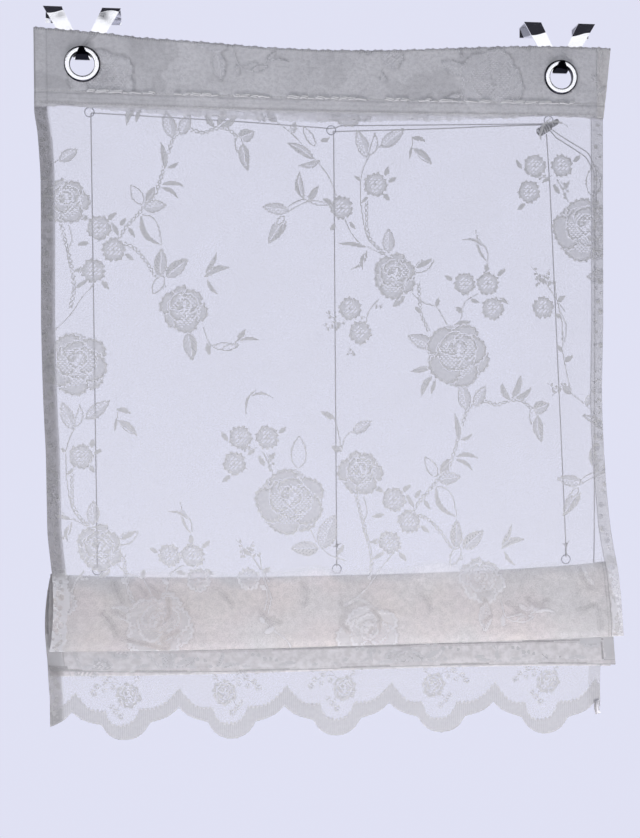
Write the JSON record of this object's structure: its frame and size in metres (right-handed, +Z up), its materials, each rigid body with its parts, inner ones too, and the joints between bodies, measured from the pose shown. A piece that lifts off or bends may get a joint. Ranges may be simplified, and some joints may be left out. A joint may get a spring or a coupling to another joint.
{
  "type": "roman blind with window hooks",
  "caption": "Sheer lace roman blind half drawn up into a folded stack with a scalloped edge, hung by eyelets on polished hooks that clip over a window sash.",
  "frame": {"origin": "midway between the two hooks, in the plane of their flat backs, at the height of the window sash edge that their bridges rest on", "axes": "+Z up, +X to the right as seen from the room, +Y away from the room to the window, so the face of the blind looks to -Y"},
  "size_m": [0.6126, 0.0426, 0.7584],
  "materials": {
    "lace": "sheer white jacquard lace with a woven rose pattern",
    "heading_lace": "the same lace, doubled and stitched",
    "eyelet_metal": "polished, plated",
    "hook_metal": "polished, plated sheet steel",
    "clear_plastic": "clear moulded plastic",
    "cord": "thin twisted white cord"
  },
  "bodies": {
    "root": {"lace_panel": "lace", "heading_band": "heading_lace", "eyelet_left": "eyelet_metal", "eyelet_right": "eyelet_metal", "hook_left": "hook_metal", "hook_right": "hook_metal", "ring_top_left": "clear_plastic", "ring_top_centre": "clear_plastic", "ring_top_right": "clear_plastic", "ring_low_left": "clear_plastic", "ring_low_centre": "clear_plastic", "ring_low_right": "clear_plastic", "cord_lock": "clear_plastic", "lift_cord_left": "cord", "lift_cord_centre": "cord", "lift_cord_right": "cord", "pull_cord_a": "cord", "pull_cord_b": "cord", "pull_cord_coil": "cord"}
  },
  "joints": []
}
